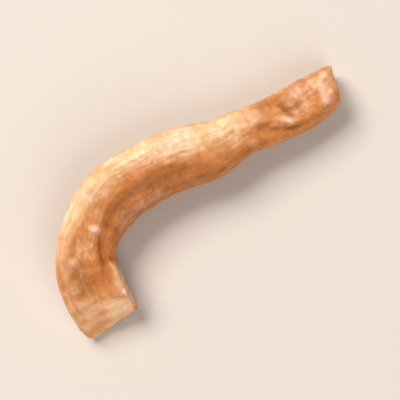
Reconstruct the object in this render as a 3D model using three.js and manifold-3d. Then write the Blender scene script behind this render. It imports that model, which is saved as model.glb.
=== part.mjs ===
// One dried safed musli root: a single peeled finger of Chlorophytum borivilianum, shrivelled
// into a hook, with a slanting break at its thick end and a blunt one at its thin end.
// Millimetres, +Z up. The root lies on its side, as it rests on a table: the hook's plane is the
// table's, X runs along its longest extent, and the origin is under the middle of its footprint.
// It grew as one piece, so it is one solid.

import * as THREE from "three";
import { mergeVertices } from "three/addons/utils/BufferGeometryUtils.js";
import Module from "manifold-3d";

const sides = 36; // facets around the root
const rings = 78; // facets along it
const breakRings = 3; // facets from the middle of a break to its rim

// The centreline from the thick broken end, round the bend, to the thin end, and the section at
// even shares of its length. Width is across the hook's plane, height is up from the table, tilt
// is how far the section leans to the inside of the bend in degrees, and lift is the gap under
// the root. Where the table cuts it, the root has a small flat patch to rest on.
const stations = [
  { x: -10.3, y: -13.6, width: 7.1, height: 4.5, tilt: 0, lift: 0.15 },
  { x: -12.1, y: -10.1, width: 7.3, height: 5.5, tilt: 4, lift: 0.05 },
  { x: -12.9, y: -6.6, width: 6.7, height: 6.0, tilt: 9, lift: 0.25 },
  { x: -12.2, y: -3.0, width: 7.2, height: 6.4, tilt: 11, lift: 0.3 },
  { x: -10.0, y: 0.3, width: 7.6, height: 6.7, tilt: 11, lift: 0.1 },
  { x: -6.6, y: 2.6, width: 7.0, height: 6.7, tilt: 10, lift: -0.1 },
  { x: -2.8, y: 4.5, width: 7.2, height: 6.3, tilt: 8, lift: 0.15 },
  { x: 1.2, y: 5.7, width: 7.0, height: 5.8, tilt: 5, lift: 0.35 },
  { x: 4.8, y: 7.7, width: 5.7, height: 5.3, tilt: 2, lift: 0.45 },
  { x: 8.6, y: 9.3, width: 5.7, height: 5.0, tilt: 0, lift: 0.3 },
  { x: 12.2, y: 11.3, width: 5.8, height: 5.0, tilt: 0, lift: -0.05 },
  { x: 15.8, y: 13.5, width: 4.7, height: 4.5, tilt: 0, lift: -0.15 },
];

// Furrows, and with a negative depth ridges, that shrinking left along the root. From and to are
// shares of its length. Angle is in degrees round the root, from 0 on the outside of the bend
// through 90 on top to 180 on the inside, and drifts from the first figure to the second. Depth
// is a share of the radius, and spread is in degrees.
const furrows = [
  { from: 0.12, to: 0.66, angle: [126, 122], spread: 14, depth: 0.08 },
  { from: 0.02, to: 0.2, angle: [80, 84], spread: 27, depth: 0.11 },
  { from: 0.09, to: 0.25, angle: [125, 121], spread: 9, depth: 0.1 },
  { from: -0.1, to: 0.2, angle: [146, 136], spread: 9, depth: -0.1 },
  { from: -0.1, to: 0.24, angle: [40, 48], spread: 12, depth: -0.05 },
  { from: 0.16, to: 0.25, angle: [64, 75], spread: 9, depth: 0.04 },
  { from: 0.1, to: 0.46, angle: [18, 8], spread: 12, depth: 0.04 },
  { from: 0.74, to: 0.88, angle: [96, 148], spread: 11, depth: 0.08 },
  { from: 0.79, to: 0.9, angle: [64, 108], spread: 13, depth: 0.14 },
  { from: 0.74, to: 0.89, angle: [46, 44], spread: 16, depth: 0.07 },
  { from: 0.05, to: 0.5, angle: [-16, -22], spread: 13, depth: 0.08 },
  { from: 0.3, to: 0.8, angle: [182, 188], spread: 14, depth: 0.09 },
  { from: 0.1, to: 0.56, angle: [218, 226], spread: 14, depth: 0.1 },
  { from: 0.5, to: 0.96, angle: [304, 294], spread: 16, depth: 0.1 },
  { from: -0.1, to: 0.4, angle: [322, 314], spread: 13, depth: 0.08 },
  { from: 0.6, to: 1.1, angle: [206, 210], spread: 14, depth: 0.09 },
];

const lump = { depth: 0.022, waves: 9, turns: 2 }; // slow swellings that wind along the root

// How far the section is from an ellipse towards a rounded box, and how much further at the
// thick break.
const boxy = 0.1;
const breakBoxy = 0.2;

// The breaks. Lean tips a break back from the table and skew turns it in plan, both in degrees,
// over its reach, a share of the length. Both differ between the upper half and the lower one,
// and change over half a blend of rise, in mm, on each side of the middle. Back is how far the
// whole break is moved towards the end in mm. The inner side of the thick break thins to a lip.
const thickBreak = {
  upper: { lean: 53, skew: 17 },
  lower: { lean: 20, skew: -9 },
  reach: 0.3,
  back: 0.3,
  lip: 0.1,
};
const thinBreak = {
  upper: { lean: -8, skew: 21 },
  lower: { lean: -8, skew: 21 },
  reach: 0.2,
  back: 0,
  lip: 0,
};
const blend = 3;

const tableCut = { side: 60, depth: 5 }; // the slab that trims the patches that the root rests on
const dryRoot = { color: 0xd8a067, roughness: 0.6, metalness: 0 };

const { clamp, degToRad, lerp, smoothstep } = THREE.MathUtils;
const centreline = new THREE.CatmullRomCurve3(
  stations.map((s) => new THREE.Vector3(s.x, s.y, s.lift + s.height / 2)),
  false,
  "catmullrom",
);
const section = new THREE.CatmullRomCurve3(
  stations.map((s) => new THREE.Vector3(s.width / 2, s.height / 2, 0)),
  false,
  "catmullrom",
);
const tilts = new THREE.CatmullRomCurve3(
  stations.map((s) => new THREE.Vector3(s.tilt, 0, 0)),
  false,
  "catmullrom",
);

// The share of the radius that the furrows take away at a place along and around the root.
function furrowDepth(along, angle) {
  let depth = 0;
  for (const f of furrows) {
    const run = (along - f.from) / (f.to - f.from);
    const middle = degToRad(f.angle[0] + (f.angle[1] - f.angle[0]) * run);
    const off = Math.atan2(Math.sin(angle - middle), Math.cos(angle - middle));
    const fade = smoothstep(run, 0, 0.3) * (1 - smoothstep(run, 0.7, 1));
    depth += f.depth * fade * Math.exp(-((off / degToRad(f.spread)) ** 2));
  }
  return depth;
}

// How far a break moves a point of the root forward.
function breakShift(end, near, across, rise) {
  const upper = smoothstep(rise, -blend / 2, blend / 2);
  const lean = degToRad(lerp(end.lower.lean, end.upper.lean, upper));
  const skew = degToRad(lerp(end.lower.skew, end.upper.skew, upper));
  return near * (rise * Math.tan(lean) + across * Math.tan(skew) - end.back);
}

// A point of the root. Along runs from 0 at the thick end to 1 at the thin end, angle goes round
// from the outside of the bend over the top, and out is 1 on the skin and 0 on the centreline.
function rootPoint(along, angle, out) {
  const centre = centreline.getPointAt(along);
  const forward = centreline.getTangentAt(along);
  const left = new THREE.Vector3(0, 0, 1).cross(forward).normalize();
  const up = forward.clone().cross(left);
  const half = section.getPoint(along);
  const tilt = degToRad(tilts.getPoint(along).x);
  const nearThick = 1 - smoothstep(along, 0, thickBreak.reach);
  const nearThin = smoothstep(along, 1 - thinBreak.reach, 1);

  const across = half.x * out * Math.cos(angle);
  const rise = half.y * out * Math.sin(angle);
  const thickShift = breakShift(thickBreak, nearThick, across, rise);
  const thinShift = breakShift(thinBreak, nearThin, across, rise);

  const swelling = lump.depth * Math.sin(lump.waves * Math.PI * along + lump.turns * angle);
  const corner = 1 + (boxy + breakBoxy * nearThick) * Math.sin(2 * angle) ** 2;
  const fuller = corner * (1 + swelling - furrowDepth(along, angle));
  const inner = Math.max(0, -Math.cos(angle)) * out;
  const thinner = 1 - (nearThick * thickBreak.lip + nearThin * thinBreak.lip) * inner;
  return centre
    .addScaledVector(left, across * fuller)
    .addScaledVector(up, (rise + across * Math.tan(tilt)) * fuller * thinner)
    .addScaledVector(forward, thickShift + thinShift);
}

// A sphere, each of whose points is put where the root's surface is. Its rings run from the
// middle of the thick break out to the rim, along the skin, and in to the middle of the thin break.
function wholeRoot() {
  const allRings = rings + 2 * breakRings;
  const geometry = new THREE.SphereGeometry(1, sides, allRings);
  const { position, uv } = geometry.attributes;
  for (let i = 0; i < position.count; i++) {
    const ring = Math.round((1 - uv.getY(i)) * allRings);
    const along = clamp((ring - breakRings) / rings, 0, 1);
    const angle = Math.atan2(position.getZ(i), position.getX(i));
    const out = Math.min(1, ring / breakRings, (allRings - ring) / breakRings);
    const point = rootPoint(along, angle, out);
    position.setXYZ(i, point.x, point.y, point.z);
  }
  return geometry;
}

const wasm = await Module();
wasm.setup();

function toSolid(geometry) {
  const bare = geometry.clone();
  bare.deleteAttribute("normal");
  bare.deleteAttribute("uv");
  const merged = mergeVertices(bare);
  const vertProperties = merged.attributes.position.array;
  const triVerts = new Uint32Array(merged.index.array);
  return new wasm.Manifold(new wasm.Mesh({ numProp: 3, vertProperties, triVerts }));
}

function toGeometry(solid) {
  const mesh = solid.getMesh();
  const geometry = new THREE.BufferGeometry();
  geometry.setAttribute("position", new THREE.BufferAttribute(mesh.vertProperties, 3));
  geometry.setIndex(new THREE.BufferAttribute(mesh.triVerts, 1));
  return geometry;
}

// The root with what would be below the table cut off, its footprint centred on the origin.
function restingRoot() {
  const table = new THREE.BoxGeometry(tableCut.side, tableCut.side, tableCut.depth);
  table.translate(0, 0, -tableCut.depth / 2);
  const geometry = toGeometry(toSolid(wholeRoot()).subtract(toSolid(table)));
  geometry.computeBoundingBox();
  const middle = geometry.boundingBox.getCenter(new THREE.Vector3());
  geometry.translate(-middle.x, -middle.y, 0);
  geometry.computeVertexNormals();
  return geometry;
}

const root = new THREE.Mesh(restingRoot(), new THREE.MeshStandardMaterial(dryRoot));
root.name = "musli_root";

const part = new THREE.Group();
part.add(root);

export default part;
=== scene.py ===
import math

import bpy
import numpy as np
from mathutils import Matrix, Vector, noise


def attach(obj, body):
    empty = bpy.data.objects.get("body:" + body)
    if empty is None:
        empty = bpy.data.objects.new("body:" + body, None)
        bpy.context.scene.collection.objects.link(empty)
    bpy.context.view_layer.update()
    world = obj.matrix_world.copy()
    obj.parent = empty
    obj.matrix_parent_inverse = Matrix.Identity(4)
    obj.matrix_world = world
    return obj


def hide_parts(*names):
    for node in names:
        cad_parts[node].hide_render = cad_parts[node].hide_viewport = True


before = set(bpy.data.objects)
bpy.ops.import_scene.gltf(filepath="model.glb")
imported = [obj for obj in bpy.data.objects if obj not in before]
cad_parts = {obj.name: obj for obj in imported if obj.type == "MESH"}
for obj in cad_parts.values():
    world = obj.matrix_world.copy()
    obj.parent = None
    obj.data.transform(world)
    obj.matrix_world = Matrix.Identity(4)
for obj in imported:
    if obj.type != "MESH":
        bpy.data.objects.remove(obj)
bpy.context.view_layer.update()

mm = 0.001

# the root: modelled straight, sculpted, then bent round its curve. Sizes are in mm.
# A place on it is a share of its length, 0 at the thick break and 1 at the thin one, and an angle
# in degrees round it: 0 outside of the bend, 90 on top, 180 inside, 270 underneath
root = {
    "name": "dried_root",
    "replaces": "musli_root",
    "slot": "root_flesh",
    # the middle line in plan, from the thick break to the thin one, and the section at even steps
    # along it: width, height, the gap below it, and how far it leans to the inside in degrees
    "curve": [(-10.3, -13.6), (-12.1, -10.1), (-12.9, -6.6), (-12.2, -3.0), (-10.0, 0.3), (-6.6, 2.6),
              (-2.8, 4.5), (1.2, 5.7), (4.8, 7.7), (8.6, 9.3), (12.2, 11.3), (15.8, 13.5)],
    "width": [7.1, 7.3, 6.7, 7.2, 7.6, 7.0, 7.2, 7.0, 5.7, 5.7, 5.8, 4.7],
    "height": [4.5, 5.5, 6.0, 6.4, 6.7, 6.7, 6.3, 5.8, 5.3, 5.0, 5.0, 4.5],
    "lift": [0.15, 0.05, 0.25, 0.3, 0.1, -0.1, 0.15, 0.35, 0.45, 0.3, -0.05, -0.15],
    "tilt": [0, 4, 9, 11, 11, 10, 8, 5, 2, 0, 0, 0],
    "sides": 16,
    "rings": 20,
    "levels": 4,
    "smooth": 48,         # steps of the curve between two of its points
    "boxy": 0.1,          # how square the section is, and how much more so at the thick break
    "breakBoxy": 0.2,
    # from share, to share, angles on the way, half width in mm, depth in mm (a ridge is below 0)
    "furrows": [
        (0.12, 0.66, (132, 128, 123, 119, 116, 120, 124, 130), 0.8, 0.26),
        (0.24, 0.60, (144, 140, 140, 146), 0.7, -0.08),
        (0.26, 0.76, (160, 158, 156, 156, 158), 0.7, 0.14),
        (-0.1, 0.18, (146, 143, 140, 137), 0.45, -0.36),
        (0.09, 0.25, (123, 127, 124, 119), 0.45, 0.36),
        (-0.1, 0.24, (40, 40, 48), 0.7, -0.16),
        (0.16, 0.25, (65, 69, 75), 0.4, 0.13),
        (0.30, 0.70, (58, 56, 62), 0.8, -0.08),
        (0.34, 0.60, (38, 32), 0.5, 0.06),
        (0.10, 0.46, (18, 8), 0.7, 0.12),
        (0.48, 0.80, (30, 22, 26), 0.7, 0.1),
        (0.66, 0.78, (92, 84), 0.6, 0.08),
        (0.74, 0.86, (96, 112, 130, 146), 0.4, 0.16),
        (0.30, 0.80, (182, 190, 186), 0.8, 0.40),
        (0.05, 0.5, (-16, -28, -20), 0.7, 0.40),
        (0.42, 0.86, (-6, -16, -6, -14), 0.5, 0.30),
        (0.30, 0.64, (-38, -44, -34), 0.6, 0.42),
        (0.10, 0.56, (216, 228, 222), 0.8, 0.48),
        (0.5, 0.96, (306, 292, 298), 0.8, 0.48),
        (-0.1, 0.4, (322, 310, 318), 0.7, 0.45),
        (0.6, 1.1, (206, 214, 204), 0.7, 0.40),
        (0.02, 0.34, (184, 178, 186), 0.6, 0.22),
        (0.34, 0.72, (250, 262, 254), 0.8, -0.2),
        (0.66, 1.1, (240, 246, 236), 0.6, 0.36),
        (0.74, 1.1, (-28, -22, -30), 0.6, 0.36),
    ],
    # share, angle, half length in mm, half width in mm, depth in mm, turn in degrees
    "dents": [
        (0.106, 82, 1.8, 1.9, 0.34, 0),
        (0.143, 65, 0.5, 0.4, 0.12, 0),
        (0.156, 86, 0.4, 0.5, 0.1, 0),
        (0.218, 101, 0.5, 0.4, 0.1, 0),
        (0.244, 99, 0.45, 0.65, -0.12, 0),
        (0.475, 121, 1.6, 0.5, 0.12, 0),
        (0.51, 89, 0.7, 0.4, -0.08, 40),
        (0.766, 104, 0.8, 0.6, 0.2, 0),
        (0.816, 46, 1.2, 0.7, 0.18, 0),
        (0.820, 103, 1.1, 0.45, -0.22, 20),
        (0.843, 86, 0.9, 0.4, 0.38, 60),
        (0.847, 139, 1.4, 0.4, 0.2, 8),
        (0.885, 86, 1.2, 0.6, 0.2, 0),
        (0.945, 76, 0.5, 0.5, -0.14, 0),
        (0.94, 114, 0.5, 0.5, -0.12, 0),
        (0.70, 172, 1.6, 1.0, 0.2, 0),
        (0.45, 250, 2.4, 1.2, 0.25, 10),
        (0.75, 268, 2.0, 0.9, 0.22, -12),
        (0.22, 282, 1.8, 0.9, 0.2, 12),
    ],
    # swells and wrinkles: length and width of one in mm, depth in mm
    "swells": [(13.0, 4.5, 0.22), (6.0, 2.2, 0.10)],
    "wrinkles": [(9.0, 1.8, 0.075), (5.0, 0.9, 0.025)],
    "lowWrinkles": 1.4,      # how much deeper they are low on the sides and below
    "bendWrinkles": {"size": (0.8, 3.0, 0.10), "from": 0.16, "to": 0.50, "fade": 0.1},
    "wander": 9,             # how far the wrinkles and streaks wind to and fro, in degrees, and how often
    "wanderWaves": 6,
    # how far each break leans back and is skewed, on top and below, in degrees, over its reach, a
    # share of the length. Forward moves it towards the thin end, lip thins the side inside the bend,
    # and crease keeps the rim crisp. Dish is how hollow the face is, and a groove runs down it: place
    # across, half width and depth
    "thickBreak": {"leanTop": 53, "leanLow": 20, "skewTop": 17, "skewLow": -9, "reach": 0.3,
                   "forward": -0.3, "lip": 0.1, "crease": 0.24, "dish": 0.15, "groove": (0.9, 0.6, 0.25)},
    "thinBreak": {"leanTop": -8, "leanLow": -8, "skewTop": 21, "skewLow": 21, "reach": 0.2,
                  "forward": 0.0, "lip": 0.0, "crease": 0.2, "dish": 0.25, "groove": (-0.3, 0.4, 0.2)},
    "leanBlend": 1.5,        # half the height over which a break's upper slant turns into its lower one
    "breakInset": 0.8,       # how far in from the rim the first ring of a break's face is
    "breakFace": (-0.12, -0.02),      # how far past the end a break's face begins and is whole
    "ragged": (2.2, 0.3),    # size of one unevenness in a break's slant, and how far it reaches
    "faceGrain": (0.9, 0.09),         # how fine the grain of a break's face is, and how deep
    # where the relief's colours, brown and orange begin and are whole, from the thick break
    "clearOfRim": (0.1, 1.5),
    "softTable": 0.16,       # how far above the table the underside begins to flatten
    # colours laid on in lines: from share, to share, angles on the way, half width in mm, strength
    "paleStrokes": [
        # the first and the third pale strokes are a painted highlight and sheen: the cream band along the
        # outside of the bend, on its side towards the key lamp
        (0.13, 0.79, (32, 38, 42, 45, 45, 42), 1.3, 0.95),
        (0.19, 0.42, (66, 64, 62), 0.8, 0.35),
        (0.40, 0.82, (60, 66, 71, 73, 70), 1.2, 0.7),
        (-0.05, 0.12, (112, 115, 118), 0.9, 0.3),
        # a painted highlight along the rim inside the bend by the thick break, next to the first pink stroke
        (-0.08, 0.17, (158, 156, 152), 0.8, 0.8),
        (0.26, 0.50, (143, 144, 142), 0.8, 0.6),
        (0.49, 0.59, (92, 97), 0.8, 0.4),
    ],
    "brownStrokes": [
        # the first, second and fourth brown strokes follow the groove and a furrow, and the third runs along
        # the inside of the bend: partly the root's own brown, partly painted shade
        (0.09, 0.24, (124, 128, 124, 119), 0.5, 0.8),
        (0.20, 0.60, (120, 117, 114, 111, 110, 113, 116, 118), 0.75, 1.15),
        (0.16, 0.84, (150, 146, 144, 142, 142, 148), 1.7, 0.38),
        (0.74, 0.86, (96, 112, 130, 146), 0.4, 0.8),
        (0.72, 1.05, (46, 46, 50), 2.0, 0.65),
        (0.56, 0.68, (118, 124, 130), 0.9, 0.3),
        (0.18, 0.62, (160, 160), 0.9, 0.2),
        (-0.04, 0.19, (34, 44), 1.3, 0.5),
    ],
    "orangeStrokes": [
        (0.16, 0.25, (65, 69, 75), 0.4, 1.0),
        (0.28, 0.60, (76, 82, 86, 92), 0.8, 0.35),
        (0.74, 1.02, (124, 130, 136), 1.3, 0.8),
        (0.60, 1.05, (156, 158, 156), 1.0, 0.8),
        (0.0, 0.4, (210, 220), 1.5, 0.7),
        (0.4, 1.0, (250, 240), 1.8, 0.7),
    ],
    "pinkStrokes": [
        # a painted highlight along the rim inside the bend by the thick break
        (-0.10, 0.12, (150, 146, 142, 141), 0.45, 0.8),
        (0.82, 1.1, (62, 84), 2.0, 0.35),
    ],
    # and in spots: share, angle, half length in mm, half width in mm, strength, turn in degrees
    "brownSpots": [
        (0.105, 88, 1.9, 2.2, 0.6, 0),
        (0.069, 55, 0.7, 0.6, 2.4, 0),
        (0.136, 62, 0.7, 0.35, 0.7, 36),
        (0.152, 86, 0.4, 0.5, 0.5, 0),
        (0.218, 101, 0.45, 0.45, 0.35, 0),
        (0.232, 78, 0.3, 0.25, 0.4, 0),
        (0.280, 112, 0.9, 0.4, 0.5, 0),
        # partly the root's own brown, partly painted shade deepening the groove
        (0.478, 116, 2.0, 0.7, 3.4, 0),
        (0.172, 134, 0.5, 0.4, 0.9, 0),
        (0.51, 135, 1.0, 0.7, 0.4, 0),
        (0.708, 144, 0.9, 0.5, 0.5, 0),
        (0.770, 102, 0.9, 0.5, 0.8, 0),
        (0.843, 86, 0.9, 0.4, 1.4, 60),
        (0.847, 139, 1.3, 0.4, 0.6, 8),
        (0.868, 97, 0.9, 0.7, 0.7, 0),
        (0.579, 143, 0.8, 0.5, 0.7, 0),
        (0.629, 143, 0.8, 0.5, 0.5, 0),
        (0.154, 41, 0.4, 0.5, 0.3, 0),
        (0.917, 36, 0.6, 0.4, 0.4, 0),
        (0.97, 80, 0.35, 0.6, 0.5, 0),
    ],
    "orangeSpots": [
        (0.105, 84, 1.9, 2.2, 0.5, 0),
        (0.348, 38, 1.0, 1.2, 0.8, 0),
        (0.687, 80, 0.8, 0.7, 0.8, 0),
        (0.918, 139, 0.7, 0.6, 0.35, 0),
        (0.629, 144, 1.3, 0.6, 0.9, 0),
        (0.816, 146, 1.0, 0.6, 1.0, 0),
        (0.410, 74, 0.9, 0.5, 0.4, 0),
        (0.383, 48, 0.7, 0.6, 0.7, 0),
        (0.074, 54, 0.8, 0.8, 0.8, 0),
        (0.145, 45, 0.4, 0.3, 0.5, 0),
        (0.262, 82, 0.4, 0.35, 0.5, 0),
        (0.684, 138, 1.5, 0.8, 0.5, 0),
        (0.812, 45, 1.6, 1.0, 1.4, 0),
        # painted shade on the thin end's face, which turns away from the key lamp
        (0.99, 90, 0.5, 4.0, 0.7, 0),
    ],
    "paleSpots": [
        (0.468, 72, 0.6, 0.3, 0.4, 0),
        (0.487, 46, 0.9, 0.6, 0.6, 0),
        (0.198, 109, 0.6, 0.5, 0.5, 0),
        (0.268, 46, 0.8, 0.6, 0.4, 0),
        (0.281, 90, 0.7, 0.7, 0.5, 0),
        # a painted highlight
        (0.614, 48, 1.0, 0.8, 1.4, 0),
        (0.330, 84, 0.8, 0.6, 0.45, 0),
        (0.690, 109, 1.3, 0.6, 0.6, 0),
        (0.733, 131, 0.7, 0.5, 0.5, 0),
        (0.229, 96, 0.5, 0.5, 0.4, 0),
        (0.305, 74, 0.5, 0.4, 0.4, 0),
        (0.791, 110, 0.6, 0.4, 0.8, 0),
        (0.578, 49, 0.9, 0.5, 0.3, 0),
        (0.584, 80, 0.9, 0.5, 0.25, 0),
        # a painted highlight
        (0.664, 74, 0.5, 0.4, 0.5, 0),
        (0.955, 132, 1.0, 1.2, 0.5, 0),
    ],
    "pinkSpots": [
        (0.102, 35, 0.4, 0.3, 0.4, 0),
        (0.190, 86, 0.9, 1.1, 0.5, 0),
        (0.247, 100, 0.5, 0.6, 1.1, 0),
        (0.145, 137, 0.6, 0.3, 0.5, 0),
        (0.251, 67, 0.5, 0.35, 0.5, 0),
        (0.294, 68, 0.5, 0.5, 0.4, 0),
        (0.406, 31, 0.7, 0.4, 0.5, 0),
        (0.51, 89, 0.7, 0.35, 0.7, 40),
        (0.684, 101, 0.8, 0.4, 0.3, 0),
        (0.829, 107, 0.6, 0.3, 0.9, 40),
        (0.88, 108, 1.2, 0.6, 0.5, 0),
        (0.887, 68, 1.2, 0.6, 0.5, 0),
        (0.95, 114, 0.7, 0.8, 0.7, 0),
        # this spot and the next two are a painted highlight where the thin end rounds off
        (0.949, 74, 0.35, 0.6, 1.2, 0),
        (0.965, 96, 0.4, 0.5, 0.6, 0),
        (0.974, 54, 0.5, 0.7, 0.9, 0),
        (0.940, 57, 0.5, 0.5, 0.5, 0),
        (0.163, 63, 0.4, 0.5, 0.6, 0),
        (0.838, 117, 0.6, 0.5, 0.5, 0),
    ],
    # dark smudges and light ones (below 0) on the thick break, as the spots
    "smudges": [
        (0.018, 70, 0.5, 0.9, 1.2, 0),
        (0.014, 116, 0.3, 0.7, 0.6, 0),
        (0.045, 37, 1.2, 0.4, 0.9, 45),
        (0.008, 97, 0.3, 0.6, -1.0, 0),
        (0.038, 69, 0.4, 1.8, -1.4, 0),
        (0.042, 120, 0.8, 0.5, -1.0, 0),
        (0.025, 45, 0.5, 0.5, -0.8, 0),
        (-0.013, -12, 1.0, 1.0, 1.0, 0),
        (0.029, 17, 0.7, 0.6, 0.7, 0),
        (0.022, 146, 0.6, 0.6, -0.8, 0),
        (0.007, 159, 0.5, 0.8, -0.8, 0),
    ],
}


def clearSelection():
    if bpy.context.object and bpy.context.object.mode != "OBJECT":
        bpy.ops.object.mode_set(mode="OBJECT")
    bpy.ops.object.select_all(action="DESELECT")


def applyModifier(piece, kind, **settings):
    modifier = piece.modifiers.new(kind.lower(), kind)
    for key, value in settings.items():
        setattr(modifier, key, value)
    bpy.context.view_layer.objects.active = piece
    bpy.ops.object.modifier_apply(modifier=modifier.name)


def alongList(values, share):
    # a smooth run through values that stand at even steps from share 0 to 1
    values = np.array(values, float)
    place = np.clip(share, 0, 1) * (len(values) - 1)
    first = np.minimum(place.astype(int), len(values) - 2)
    t = place - first
    before = values[np.maximum(first - 1, 0)]
    a, b = values[first], values[first + 1]
    after = values[np.minimum(first + 2, len(values) - 1)]
    return 0.5 * (2 * a + (b - before) * t + (2 * before - 5 * a + 4 * b - after) * t**2
                  + (3 * a - before - 3 * b + after) * t**3)


def smoothStep(value, low, high):
    t = np.clip((value - low) / (high - low), 0, 1)
    return t * t * (3 - 2 * t)


def readPoints(mesh):
    values = np.empty(len(mesh.vertices) * 3)
    mesh.vertices.foreach_get("co", values)
    return values.reshape(-1, 3)


def storeAttribute(mesh, name, values):
    kind, field = ("FLOAT_VECTOR", "vector") if values.ndim == 2 else ("FLOAT", "value")
    mesh.attributes.new(name, kind, "POINT").data.foreach_set(field, values.ravel())


def drawCurve():
    clearSelection()
    bpy.ops.curve.primitive_bezier_curve_add()
    curve = bpy.context.object
    curve.data.twist_mode = "Z_UP"
    curve.data.resolution_u = root["smooth"]
    points = curve.data.splines[0].bezier_points
    points.add(len(root["curve"]) - len(points))
    for point, (x, y), height, lift in zip(points, root["curve"], root["height"], root["lift"]):
        point.co = Vector((x, y, lift + height / 2)) * mm
        point.handle_left_type = point.handle_right_type = "AUTO"
    return curve


def straightRoot(length):
    clearSelection()
    share = np.linspace(0, 1, root["rings"] + 1)
    swell = 1 / (2 / 3 + math.cos(2 * math.pi / root["sides"]) / 3)     # subdivision pulls the rings in
    halfWidth = alongList(root["width"], share) * mm / 2 * swell
    halfHeight = alongList(root["height"], share) * mm / 2 * swell
    bpy.ops.mesh.primitive_circle_add(vertices=root["sides"], radius=1, fill_type="NGON",
                                      rotation=(0, math.pi / 2, 0))
    piece = bpy.context.object
    bpy.ops.object.transform_apply(location=True, rotation=True, scale=True)
    bpy.ops.object.mode_set(mode="EDIT")
    bpy.ops.mesh.select_all(action="SELECT")
    bpy.ops.transform.resize(value=(1, halfWidth[0], halfHeight[0]))
    step = length / root["rings"]
    for k in range(root["rings"]):
        bpy.ops.mesh.extrude_region_move(TRANSFORM_OT_translate={"value": (step, 0, 0)})
        grow = (1, halfWidth[k + 1] / halfWidth[k], halfHeight[k + 1] / halfHeight[k])
        bpy.ops.transform.resize(value=grow, center_override=((k + 1) * step, 0, 0))
    # both breaks: their rims stay crisp, and their faces get rings of their own
    bpy.ops.mesh.select_mode(type="FACE")
    for end, way in (("thickBreak", -1), ("thinBreak", 1)):
        bpy.ops.mesh.select_all(action="DESELECT")
        bpy.ops.object.mode_set(mode="OBJECT")
        for face in piece.data.polygons:
            face.select = face.normal.x * way > 0.9      # only the end's own face looks along the root
        bpy.ops.object.mode_set(mode="EDIT")
        bpy.ops.transform.edge_crease(value=root[end]["crease"])
        bpy.ops.mesh.inset(thickness=root["breakInset"] * mm, use_individual=False)
        bpy.ops.mesh.poke()
    bpy.ops.object.mode_set(mode="OBJECT")
    return piece


def turned(angle, middle):
    # how far round one angle is from another, in radians
    return np.arctan2(np.sin(angle - middle), np.cos(angle - middle))


def alongStrokes(strokes, share, angle, girth):
    # soft lines that run along the root and fade over a quarter of their length at both ends
    total = np.zeros_like(share)
    for start, end, angles, spread, strength in strokes:
        run = (share - start) / (end - start)
        off = turned(angle, np.radians(alongList(angles, run))) * girth / spread
        fade = smoothStep(run, 0, 0.25) * (1 - smoothStep(run, 0.75, 1))
        total += strength * fade / (1 + off**2) ** 1.5
    return total


def atSpots(spots, share, angle, girth, length):
    # soft oval spots
    total = np.zeros_like(share)
    for place, at, halfLength, halfWidth, strength, turn in spots:
        along = (share - place) * length / mm
        around = turned(angle, math.radians(at)) * girth
        c, s = math.cos(math.radians(turn)), math.sin(math.radians(turn))
        off = ((along * c + around * s) / halfLength) ** 2 + ((around * c - along * s) / halfWidth) ** 2
        total += strength * np.exp(-off)
    return total


def noiseOver(grain, long, wide, seed):
    # noise from -1 to 1 in spots that are long along the root and wide across it. Each seed reads
    # another part of it
    scale = Vector((1 / long, 1 / wide, 1 / wide))
    shift = Vector((17.3 * seed, 5.1 + seed, 9.7))
    return np.array([noise.noise(Vector(p) * scale + shift) for p in grain])


def wrinkleDepth(grain, share, angle):
    depth = np.zeros(len(grain))
    for seed, (long, wide, deep) in enumerate(root["swells"]):
        depth += deep * noiseOver(grain, long, wide, seed)
    for seed, (long, wide, deep) in enumerate(root["wrinkles"], 5):
        # round valleys where the noise crosses zero, deeper in some places than in others
        patches = smoothStep(noiseOver(grain, long, 3 * wide, seed + 10), -0.35, 0.3)
        depth += deep * (0.25 + 0.75 * patches) / (1 + (noiseOver(grain, long, wide, seed) / 0.2) ** 2)
    depth *= 1 + root["lowWrinkles"] * smoothStep(-np.sin(angle), -0.3, 0.5)
    # short ones across the inside of the bend, where it was squeezed
    bend = root["bendWrinkles"]
    long, wide, deep = bend["size"]
    start, end, fade = bend["from"], bend["to"], bend["fade"]
    where = smoothStep(-np.cos(angle), 0.1, 0.8) * smoothStep(share, start, start + fade)
    where *= 1 - smoothStep(share, end - fade, end)
    return depth + where * deep * noiseOver(grain, long, wide, 9)


def slantBreaks(x, y, z, near):
    # both breaks slant, and the skin near them goes with them
    size, reach = root["ragged"]
    across = zip(y / mm / size, z / mm / size)
    uneven = np.array([noise.fractal(Vector((b, c, 7.0)), 1.0, 2.0, 2) for b, c in across])
    onTop = smoothStep(z / mm, -root["leanBlend"], root["leanBlend"])
    for name, close in near.items():
        end = root[name]
        lean = end["leanLow"] + (end["leanTop"] - end["leanLow"]) * onTop
        skew = end["skewLow"] + (end["skewTop"] - end["skewLow"]) * onTop
        slant = z * np.tan(np.radians(lean)) + y * np.tan(np.radians(skew))
        x = x + close * (slant + end["forward"] * mm) + close**8 * uneven * reach * mm
    return x


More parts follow.
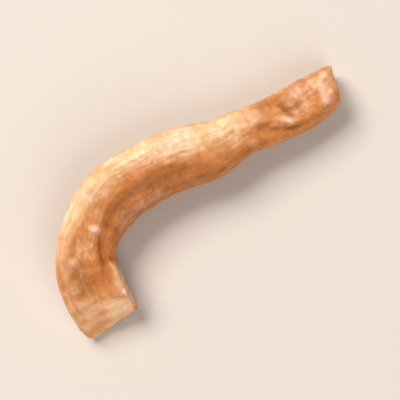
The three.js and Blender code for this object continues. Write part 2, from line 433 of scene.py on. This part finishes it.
def sculptRoot(piece, length):
    mesh = piece.data
    x, y, z = readPoints(mesh).T
    share = x / length
    angle = np.arctan2(z, y)
    halfWidth = alongList(root["width"], share) / 2
    halfHeight = alongList(root["height"], share) / 2
    skin = 1 / np.hypot(np.cos(angle) / halfWidth, np.sin(angle) / halfHeight)     # mm from the middle
    out = np.hypot(y, z) / mm / skin
    inside = np.clip(1 - out, 0, 1)
    near = {"thickBreak": 1 - smoothStep(share, 0, root["thickBreak"]["reach"]),
            "thinBreak": smoothStep(share, 1 - root["thinBreak"]["reach"], 1)}
    onFace = {"thickBreak": smoothStep(-x / mm, *root["breakFace"]),
              "thinBreak": smoothStep((x - length) / mm, *root["breakFace"])}
    offRim = smoothStep(x / mm, *root["clearOfRim"])

    # every place on the skin is taken after the slant
    x = slantBreaks(x, y, z, near)
    share = x / length
    sway = np.array([noise.noise(Vector((s * root["wanderWaves"], 3.1, 0))) for s in share])
    drift = angle + np.radians(root["wander"]) * sway
    grain = np.stack([x / mm, skin * np.cos(drift) * out, skin * np.sin(drift) * out], axis=1)
    onSkin = np.stack([x / mm, skin * np.cos(drift), skin * np.sin(drift)], axis=1)
    depth = alongStrokes(root["furrows"], share, angle, skin)
    depth += atSpots(root["dents"], share, angle, skin, length)
    wrinkles = wrinkleDepth(onSkin, share, angle)

    boxy = root["boxy"] + root["breakBoxy"] * near["thickBreak"]
    factor = 1 + boxy * np.sin(2 * angle) ** 2 - (depth + wrinkles) / skin
    y, z = y * factor, z * factor
    z = z + y * np.tan(np.radians(alongList(root["tilt"], share)))

    # the faces of the breaks
    inner = np.maximum(0, -np.cos(angle)) * out
    fine, deep = root["faceGrain"]
    rough = deep * np.array([noise.fractal(Vector(p) * fine, 0.8, 2.2, 3) for p in grain])
    for name, way in (("thickBreak", 1), ("thinBreak", -1)):
        end = root[name]
        z = z * (1 - near[name] * end["lip"] * inner)
        place, spread, most = end["groove"]
        groove = most * np.exp(-((y / mm - place) / spread) ** 2)
        hollow = end["dish"] * smoothStep(inside, 0, 0.6) + (groove + rough) * smoothStep(inside, 0, 0.2)
        x = x + way * mm * onFace[name] * hollow
    mesh.vertices.foreach_set("co", np.stack([x, y, z], axis=1).ravel())

    # what the material reads
    onBreak = np.maximum(onFace["thickBreak"], onFace["thinBreak"]) * smoothStep(inside, 0, 0.28)
    storeAttribute(mesh, "grain", grain)
    storeAttribute(mesh, "fan", np.stack([np.cos(angle), np.sin(angle), inside], axis=1))
    # the relief, deep in furrows and below 0 on ridges, which the material darkens and lightens as painted
    # shade and light
    storeAttribute(mesh, "relief", depth * offRim + 0.5 * wrinkles)
    # how far a place faces the outside of the bend, which the material turns into painted light and shade
    storeAttribute(mesh, "outside", np.cos(angle))
    storeAttribute(mesh, "inside", inside)
    storeAttribute(mesh, "onBreak", onBreak)
    storeAttribute(mesh, "smudge", atSpots(root["smudges"], share, angle, skin * out, length))
    # colours laid in strokes and spots; some of them are painted highlights and painted shade, as marked in
    # their lists
    for color in ("pale", "brown", "orange", "pink"):
        laid = alongStrokes(root[color + "Strokes"], share, angle, skin)
        laid += atSpots(root[color + "Spots"], share, angle, skin, length)
        storeAttribute(mesh, color, laid * offRim if color in ("brown", "orange") else laid)
    mesh.update()


def settleOnTable(mesh):
    # what would reach below the table is pressed flat just above it
    points = readPoints(mesh)
    soft = root["softTable"] * mm
    low = points[:, 2] < soft
    points[low, 2] = soft * np.exp((points[low, 2] - soft) / soft)
    mesh.vertices.foreach_set("co", points.ravel())
    mesh.update()


def buildRoot():
    curve = drawCurve()
    length = curve.data.splines[0].calc_length()
    piece = straightRoot(length)
    piece.name = piece.data.name = root["name"]
    applyModifier(piece, "SUBSURF", levels=root["levels"], render_levels=root["levels"])
    print("straight root", len(piece.data.polygons), "faces", round(length / mm, 2), "mm long")
    sculptRoot(piece, length)
    print("sculpted")
    applyModifier(piece, "CURVE", object=curve, deform_axis="POS_X")
    bpy.data.objects.remove(curve)
    settleOnTable(piece.data)
    clearSelection()
    piece.select_set(True)
    bpy.ops.object.shade_smooth()
    return piece


piece = buildRoot()
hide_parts(root["replaces"])
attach(piece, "root")
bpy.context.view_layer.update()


# colours are linear red, green and blue. Sizes are in mm along the root and across it
flesh = {
    # the outside of the bend is paler and the inside darker and browner: partly the root's own colour, partly
    # painted light and shade, the outside facing the key lamp on the upper left and the inside turned away
    # from it
    "outside": (0.77, 0.42, 0.195),
    "inside": (0.62, 0.22, 0.052),
    "orange": (0.70, 0.26, 0.062),
    "brown": (0.39, 0.12, 0.020),
    "pink": (0.98, 0.59, 0.40),
    "pale": (0.95, 0.69, 0.45),
    # the breaks' pale colour: partly the paler flesh of a fresh break, partly painted light, as the thick
    # break leans away from the key lamp
    "breakPale": (1.0, 0.57, 0.29),
    "breakPink": (0.95, 0.49, 0.27),
    "breakRim": (0.74, 0.32, 0.13),
    "breakLight": (1.0, 0.62, 0.36),
    # how strongly each pattern and each colour laid in strokes and spots shows at most, from 0 to 1
    "most": {"mottle": 0.5, "pale": 0.8, "orange": 0.85, "brown": 0.8, "furrowShade": 0.5, "ridge": 0.4,
             "pink": 0.9, "fold": 0.1, "pore": 0.3, "core": 0.6, "ring": 0.2, "rays": 0.25, "pith": 0.25,
             "smudge": 0.75, "lightSmudge": 0.8, "breakTint": 0.6},
    "toneSize": (9.0, 3.0),
    "mottleSize": (2.4, 1.2),
    "patchSize": (1.3, 1.7),
    "hueSize": (3.2, 1.8),
    "hueTurn": (0.6, 0.5, 0.4),      # in radians, so that no patch ends square across the root
    "speckleSize": (0.55, 0.36),
    "streakSize": (5.0, 0.7),
    "fineStreakSize": (2.6, 0.25),
    "bloomSize": (0.9, 0.55),
    "poreSize": (1.5, 0.9),
    "foldSize": (5.5, 0.8),
    "gritSize": (0.3, 0.16),
    "pithSize": (0.8, 0.8),
    "rayScale": (5, 5, 1.2),
    "poreless": 0.85,                # the share of the root's cells that have no pore
    # how dark and how light the streaks are, as a factor, and what the finer patterns add to it or
    # take away
    "streakShade": (0.95, 1.01),
    "fineStreakShade": 0.03,
    "speckleShade": 0.11,
    "bloomShade": 0.1,
    # for red, green and blue: the power that this shade is raised to, so that what is darker is warmer
    # too, the factors of the darkest and the palest patches, and those of the pinkest and the yellowest
    "tint": [
        (0.6, (0.93, 1.04), (1.0, 0.99)),
        (1.0, (0.86, 1.1), (0.97, 1.03)),
        (1.5, (0.74, 1.22), (1.06, 0.94)),
    ],
    "roughness": (0.4, 0.58),
    "shader": {"IOR": 1.45, "Specular IOR Level": 0.35, "Subsurface Weight": 0.45,
               "Subsurface Radius": (1.0, 0.42, 0.16), "Subsurface Scale": 0.0012},
    # how deep the finest relief is, in mm
    "foldDepth": 0.06,
    "fineStreakDepth": 0.02,
    "speckleDepth": 0.03,
    "gritDepth": 0.012,
    "poreDepth": 0.02,
    "pithDepth": 0.05,
    "rayDepth": 0.4,                 # as a share of the pith's
}


class NodeBench:
    # adds nodes to a material and wires them
    def __init__(self, name):
        self.material = bpy.data.materials.new(name)
        self.material.use_nodes = True
        self.tree = self.material.node_tree
        self.shader = self.tree.nodes["Principled BSDF"]

    def add(self, kind, inputs=None, **settings):
        node = self.tree.nodes.new("ShaderNode" + kind)
        for key, value in settings.items():
            setattr(node, key, value)
        for key, value in (inputs or {}).items():
            self.plug(value, node.inputs[key])
        return node

    def plug(self, value, socket):
        if isinstance(value, bpy.types.NodeSocket):
            self.tree.links.new(value, socket)
        elif isinstance(value, tuple) and socket.type == "RGBA":
            socket.default_value = (*value, 1)
        else:
            socket.default_value = value

    def attribute(self, name, output="Fac"):
        return self.add("Attribute", attribute_name=name).outputs[output]

    def stretched(self, vector, size, turn=(0, 0, 0)):
        along, across = size
        scale = (1 / along, 1 / across, 1 / across)
        return self.add("Mapping", {"Vector": vector, "Rotation": turn, "Scale": scale}).outputs[0]

    def noise(self, vector, detail, rough=0.5):
        inputs = {"Vector": vector, "Scale": 1.0, "Detail": detail, "Roughness": rough}
        return self.add("TexNoise", inputs).outputs[0]

    def ramp(self, value, low, high, toLow=0.0, toHigh=1.0):
        return self.add("MapRange", {"Value": value, "From Min": low, "From Max": high, "To Min": toLow,
                                     "To Max": toHigh}, interpolation_type="SMOOTHSTEP").outputs[0]

    def math(self, operation, a, b):
        return self.add("Math", {0: a, 1: b}, operation=operation).outputs[0]

    def mix(self, factor, a, b, blend="MIX"):
        node = self.add("Mix", data_type="RGBA", blend_type=blend)
        self.plug(factor, node.inputs["Factor"])
        self.plug(a, node.inputs[6])
        self.plug(b, node.inputs[7])
        return node.outputs[2]

    def overlaid(self, color, layers):
        # colours laid over one another in turn
        for amount, layer in layers:
            color = self.mix(amount, color, layer)
        return color


def driedFlesh():
    bench = NodeBench("dried_flesh")
    most = flesh["most"]
    grain = bench.attribute("grain", "Vector")
    fan = bench.attribute("fan", "Vector")
    relief, outside, inside, onBreak, smudge, pale, brown, orange, pink = [
        bench.attribute(name)
        for name in ("relief", "outside", "inside", "onBreak", "smudge", "pale", "brown", "orange", "pink")]

    def spots(name, **how):
        return bench.noise(bench.stretched(grain, flesh[name]), **how)

    def spread(pattern, low, high):
        # a noise taken to run from low to high, and held there past its usual ends
        return bench.ramp(pattern, 0.3, 0.7, low, high)

    def laid(amount, patches, name):
        # how thick a listed colour lies: broken up by the patches
        broken = bench.math("MULTIPLY", amount, bench.ramp(patches, 0.3, 0.65, 0.65, 1.15))
        return bench.ramp(broken, 0.0, 1.1, 0, most[name])

    tone = spots("toneSize", detail=3)
    mottle = spots("mottleSize", detail=4)
    streak = spots("streakSize", detail=4)
    fineStreak = spots("fineStreakSize", detail=3)
    speckle = spots("speckleSize", detail=3)
    bloom = spots("bloomSize", detail=3)
    # round ridges with narrow valleys between them, plainer in some places than in others
    fold = bench.math("ABSOLUTE", bench.math("SUBTRACT", spots("foldSize", detail=2), 0.5), 0)
    fold = bench.math("MULTIPLY", bench.ramp(fold, 0.0, 0.22), bench.ramp(tone, 0.35, 0.6, 0.35, 1))
    # a pore in the middle of a few of the cells
    cell = bench.add("TexVoronoi", {"Vector": bench.stretched(grain, flesh["poreSize"]), "Scale": 1.0})
    draw = bench.add("SeparateColor", {0: cell.outputs["Color"]}).outputs[0]
    chosen = bench.math("GREATER_THAN", draw, flesh["poreless"])
    pore = bench.math("MULTIPLY", bench.ramp(cell.outputs["Distance"], 0.22, 0.06), chosen)

    # painted light and shade round the root: the outside of the bend, towards the key lamp, takes the pale
    # outside colour and the inside the dark inside colour, shifted by the tone
    litSide = bench.ramp(bench.math("ADD", outside, spread(tone, -0.35, 0.35)), -0.3, 0.75)
    color = bench.overlaid(flesh["inside"], [
        (litSide, flesh["outside"]),
        (bench.ramp(mottle, 0.5, 0.8, 0, most["mottle"]), flesh["orange"]),
        (laid(pale, streak, "pale"), flesh["pale"]),
        (laid(orange, streak, "orange"), flesh["orange"]),
        (laid(brown, mottle, "brown"), flesh["brown"]),
        # painted shade in the furrows and painted light on the ridge crests, read from the relief
        (bench.ramp(relief, 0.1, 0.5, 0, most["furrowShade"]), flesh["brown"]),
        (bench.ramp(relief, 0.0, -0.25, 0, most["ridge"]), flesh["pale"]),
        (laid(pink, bloom, "pink"), flesh["pink"]),
        # painted shade in the narrow valleys between the folds
        (bench.ramp(fold, 0.5, 0.0, 0, most["fold"]), flesh["brown"]),
        (bench.math("MULTIPLY", pore, most["pore"]), flesh["brown"]),
    ])
    shade = spread(streak, *flesh["streakShade"])
    for pattern, reach in ((fineStreak, "fineStreakShade"), (speckle, "speckleShade"), (bloom, "bloomShade")):
        shade = bench.math("ADD", shade, spread(pattern, -flesh[reach], flesh[reach]))
    patch = spots("patchSize", detail=3)
    hue = bench.noise(bench.stretched(grain, flesh["hueSize"], flesh["hueTurn"]), detail=2)
    tint = []
    for power, patchEnds, hueEnds in flesh["tint"]:
        part = bench.math("POWER", shade, power)
        part = bench.math("MULTIPLY", part, bench.ramp(patch, 0.32, 0.68, *patchEnds))
        tint.append(bench.math("MULTIPLY", part, bench.ramp(hue, 0.32, 0.68, *hueEnds)))
    tint = bench.add("CombineColor", dict(enumerate(tint))).outputs[0]
    color = bench.mix(1.0, color, tint, "MULTIPLY")

    # the breaks: a pinker core with a ring round it, rays out to the rim, and smudges
    fanned = bench.add("Mapping", {"Vector": fan, "Scale": flesh["rayScale"]}).outputs[0]
    rays = bench.ramp(bench.noise(fanned, detail=3, rough=0.6), 0.5, 0.75)
    rays = bench.math("MULTIPLY", rays, bench.ramp(inside, 0.8, 0.4))
    pith = spots("pithSize", detail=5, rough=0.6)
    wobble = bench.math("ADD", inside, spread(pith, -0.12, 0.12))
    core = bench.ramp(wobble, 0.32, 0.52)
    ring = bench.math("MULTIPLY", core, bench.ramp(wobble, 0.62, 0.44))
    breakColor = bench.overlaid(flesh["breakPale"], [
        (bench.math("MULTIPLY", core, most["core"]), flesh["breakPink"]),
        (bench.math("MULTIPLY", ring, most["ring"]), flesh["breakRim"]),
        (bench.math("MULTIPLY", rays, most["rays"]), flesh["breakRim"]),
        (bench.ramp(pith, 0.45, 0.7, 0, most["pith"]), flesh["breakRim"]),
        (bench.ramp(smudge, 0.0, 1.0, 0, most["smudge"]), flesh["breakRim"]),
        (bench.ramp(smudge, 0.0, -1.0, 0, most["lightSmudge"]), flesh["breakLight"]),
    ])
    breakColor = bench.mix(most["breakTint"], breakColor, tint, "MULTIPLY")

    bench.plug(bench.mix(onBreak, color, breakColor), bench.shader.inputs["Base Color"])
    bench.plug(spread(mottle, *flesh["roughness"]), bench.shader.inputs["Roughness"])
    for socket, value in flesh["shader"].items():
        bench.shader.inputs[socket].default_value = value

    # the finest relief, in mm
    grit = spots("gritSize", detail=3, rough=0.6)
    skinHeight = bench.math("MULTIPLY", fineStreak, flesh["fineStreakDepth"])
    for pattern, deep in ((grit, "gritDepth"), (speckle, "speckleDepth"), (fold, "foldDepth")):
        skinHeight = bench.math("ADD", skinHeight, bench.math("MULTIPLY", pattern, flesh[deep]))
    skinHeight = bench.math("SUBTRACT", skinHeight, bench.math("MULTIPLY", pore, flesh["poreDepth"]))
    breakHeight = bench.math("SUBTRACT", pith, bench.math("MULTIPLY", rays, flesh["rayDepth"]))
    breakHeight = bench.math("MULTIPLY", breakHeight, flesh["pithDepth"])
    height = bench.add("Mix", {0: onBreak, 2: skinHeight, 3: breakHeight}).outputs[0]
    bump = bench.add("Bump", {"Height": height, "Strength": 1.0, "Distance": mm})
    bench.plug(bump.outputs[0], bench.shader.inputs["Normal"])
    return bench.material


piece.data.materials.append(driedFlesh())
print("dried flesh")

# metres, watts and degrees
studio = {
    "floorSize": 3,
    "floorColor": (0.70, 0.625, 0.562, 1),
    "floorRoughness": 0.9,
    "worldColor": (1.0, 0.96, 0.92, 1),
    "worldStrength": 0.22,
    "keyLight": {"place": (-0.42, 0.38, 0.62), "size": 0.42, "power": 7.85, "color": (1, 0.97, 0.94)},
    "fillLight": {"place": (0.30, -0.50, 0.62), "size": 0.7, "power": 3.4, "color": (1, 0.98, 0.96)},
    "lens": 135,                     # mm, as the sensor
    "sensor": 36,
    "elevation": 84,
    "distance": 0.172,
    "lookAt": (0, 0, 0.003),
    "clipStart": 0.01,
}


def layTable():
    clearSelection()
    bpy.ops.mesh.primitive_plane_add(size=studio["floorSize"])
    floor = bpy.context.object
    floor.name = "table"
    material = bpy.data.materials.new("pale_table")
    material.use_nodes = True
    shader = material.node_tree.nodes["Principled BSDF"]
    shader.inputs["Base Color"].default_value = studio["floorColor"]
    shader.inputs["Roughness"].default_value = studio["floorRoughness"]
    floor.data.materials.append(material)


def fillRoom():
    world = bpy.data.worlds.new("studio")
    world.use_nodes = True
    background = world.node_tree.nodes["Background"]
    background.inputs["Color"].default_value = studio["worldColor"]
    background.inputs["Strength"].default_value = studio["worldStrength"]
    bpy.context.scene.world = world
    bpy.context.scene.view_settings.view_transform = "Standard"


def aim(thing, target):
    thing.rotation_euler = (Vector(target) - thing.location).to_track_quat("-Z", "Y").to_euler()


def addLight(name, setup):
    bpy.ops.object.light_add(type="AREA", location=setup["place"])
    light = bpy.context.object
    light.name = name
    light.data.size = setup["size"]
    light.data.energy = setup["power"]
    light.data.color = setup["color"]
    aim(light, (0, 0, 0))


def placeCamera():
    bpy.ops.object.camera_add()
    camera = bpy.context.object
    camera.data.lens = studio["lens"]
    camera.data.sensor_width = studio["sensor"]
    camera.data.clip_start = studio["clipStart"]
    elevation = math.radians(studio["elevation"])
    away = Vector((0, -math.cos(elevation), math.sin(elevation)))
    camera.location = Vector(studio["lookAt"]) + studio["distance"] * away
    aim(camera, studio["lookAt"])
    bpy.context.scene.camera = camera


layTable()
fillRoom()
addLight("key", studio["keyLight"])
addLight("fill", studio["fillLight"])
placeCamera()
print("table, lights and camera")
